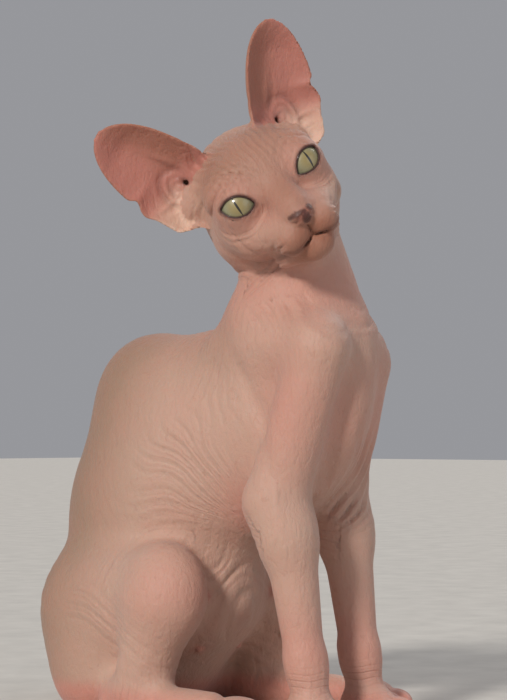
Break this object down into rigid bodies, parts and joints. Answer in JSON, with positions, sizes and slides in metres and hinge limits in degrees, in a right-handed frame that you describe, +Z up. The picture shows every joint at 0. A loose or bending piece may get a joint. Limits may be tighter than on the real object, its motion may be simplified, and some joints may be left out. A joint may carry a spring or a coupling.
{
  "type": "sphynx cat, sitting",
  "caption": "A life-size hairless sphynx cat sitting upright with straight forelegs, its head turned and tilted, its tail laid on the floor round its side.",
  "frame": {"origin": "The middle, across and along, of the floor that the cat's own box covers; the floor is z = 0.", "axes": "+X is the cat's left, +Y is towards its back, +Z is up. It faces -Y."},
  "size_m": [0.1828, 0.2366, 0.3627],
  "materials": {
    "skin": "matte",
    "eye": "gloss"
  },
  "bodies": {
    "root": {"head": "skin", "eye_right": "eye", "eye_left": "eye", "ear_right": "skin", "ear_left": "skin", "neck": "skin", "chest": "skin", "loin_and_rump": "skin", "foreleg_right": "skin", "forepaw_right": "skin", "foreleg_left": "skin", "forepaw_left": "skin", "thigh_right": "skin", "hind_foot_right": "skin", "thigh_left": "skin", "hind_foot_left": "skin", "tail_root": "skin", "tail_middle": "skin", "tail_tip": "skin"}
  },
  "joints": []
}
